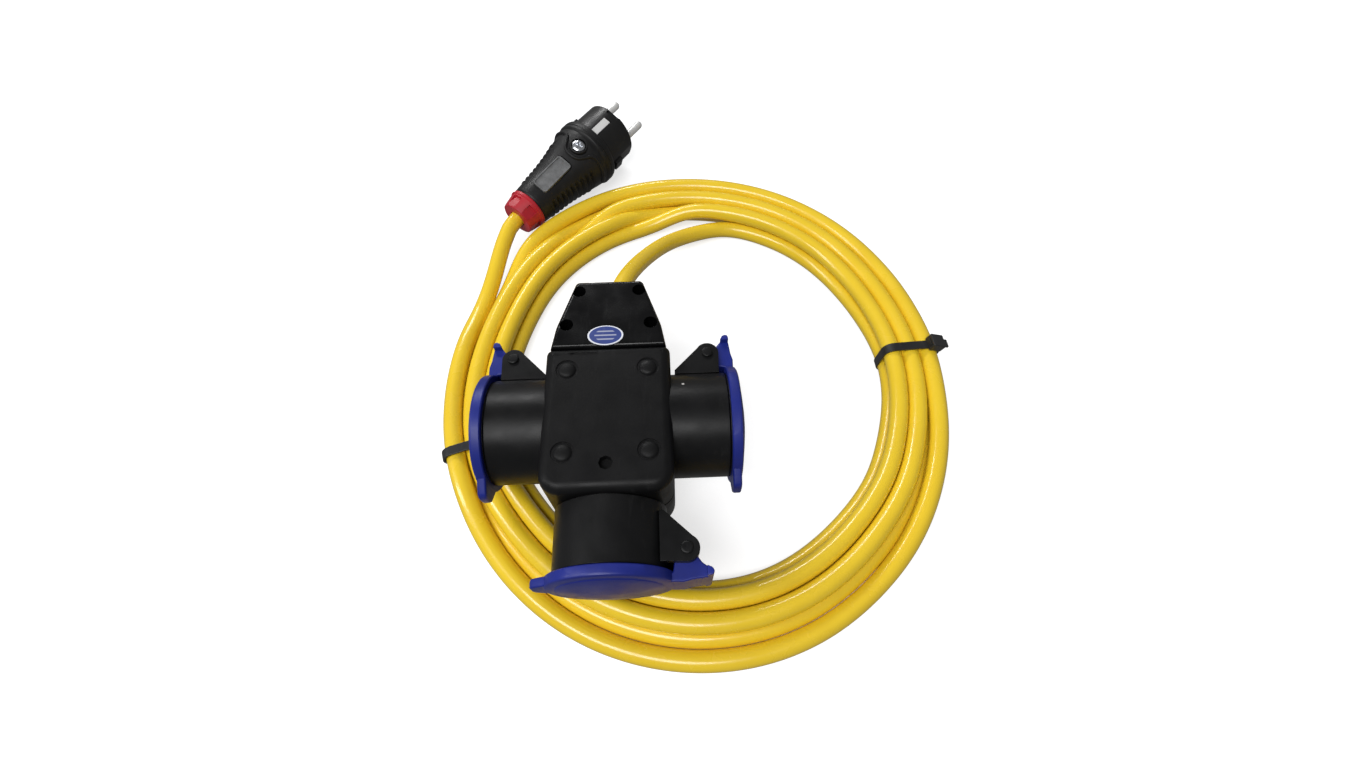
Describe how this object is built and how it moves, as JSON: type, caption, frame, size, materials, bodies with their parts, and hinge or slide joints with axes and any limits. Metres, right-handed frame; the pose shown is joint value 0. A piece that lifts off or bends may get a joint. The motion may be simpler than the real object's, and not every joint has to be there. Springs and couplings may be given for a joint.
{
  "type": "extension cord",
  "caption": "Coiled yellow extension cord with a grounded plug and a T-shaped three-way socket block whose round outlets have spring-closing hinged lids.",
  "frame": {"origin": "middle of the socket block's box, without the cord and what is on it", "axes": "+Y towards the block's cord entry, +Z out of its front face, +X to the right seen from the front; the floor is 43.2 mm below the origin"},
  "size_m": [0.2528, 0.334, 0.0683],
  "materials": {
    "case_black": "fine matte texture",
    "hood_gloss": "semi-gloss",
    "rubber_black": "matte",
    "lid_blue": "satin",
    "collar_red": "satin",
    "cord_yellow": "glossy jacket",
    "steel": "zinc plated",
    "nickel": "nickel plated",
    "brass": "plain",
    "label_blue": "printed film"
  },
  "bodies": {
    "block": {"body_front_shell": "case_black", "body_back_shell": "case_black", "hood_base": "case_black", "plug_face": "case_black", "barrel_left": "case_black", "barrel_right": "case_black", "barrel_bottom": "case_black", "socket_insert_left": "case_black", "socket_insert_right": "case_black", "socket_insert_bottom": "case_black", "hood_cover": "hood_gloss", "cord_clamp": "rubber_black", "entry_gland": "rubber_black", "plug_hood": "rubber_black", "tie_left": "rubber_black", "tie_right": "rubber_black", "plug_collar": "collar_red", "cord_end": "cord_yellow", "cord_coil": "cord_yellow", "lead_to_plug": "cord_yellow", "lead_to_block": "cord_yellow", "body_screw_1": "steel", "body_screw_2": "steel", "body_screw_3": "steel", "body_screw_4": "steel", "hood_screw_1": "steel", "hood_screw_2": "steel", "hood_screw_3": "steel", "hood_screw_4": "steel", "clamp_screw_1": "steel", "clamp_screw_2": "steel", "plug_screw": "steel", "plug_earth_contact": "steel", "earth_clip_left": "steel", "earth_clip_right": "steel", "earth_clip_bottom": "steel", "hinge_pin_left": "steel", "hinge_pin_right": "steel", "hinge_pin_bottom": "steel", "lid_spring_left": "steel", "lid_spring_right": "steel", "lid_spring_bottom": "steel", "plug_pin_1": "nickel", "plug_pin_2": "nickel", "busbar_live": "brass", "busbar_neutral": "brass", "busbar_earth": "brass", "contact_live_left": "brass", "contact_live_right": "brass", "contact_live_bottom": "brass", "contact_neutral_left": "brass", "contact_neutral_right": "brass", "contact_neutral_bottom": "brass", "label": "label_blue"},
    "lid_body_left": {"lid_left": "lid_blue", "lid_seal_left": "rubber_black"},
    "lid_body_right": {"lid_right": "lid_blue", "lid_seal_right": "rubber_black"},
    "lid_body_bottom": {"lid_bottom": "lid_blue", "lid_seal_bottom": "rubber_black"}
  },
  "joints": [
    {"name": "lid_hinge_left", "type": "hinge", "parent": "block", "child": "lid_body_left", "pos_m": [-0.0426, 0.0331, 0], "axis": [0, 0, -1], "range_deg": [0, 110], "stiffness_Nm_per_rad": 0.01, "springref_deg": -57.3},
    {"name": "lid_hinge_right", "type": "hinge", "parent": "block", "child": "lid_body_right", "pos_m": [0.0426, 0.0331, 0], "axis": [0, 0, 1], "range_deg": [0, 110], "stiffness_Nm_per_rad": 0.01, "springref_deg": -57.3},
    {"name": "lid_hinge_bottom", "type": "hinge", "parent": "block", "child": "lid_body_bottom", "pos_m": [0.02965, -0.05195, 0], "axis": [0, 0, 1], "range_deg": [0, 110], "stiffness_Nm_per_rad": 0.01, "springref_deg": -57.3}
  ]
}
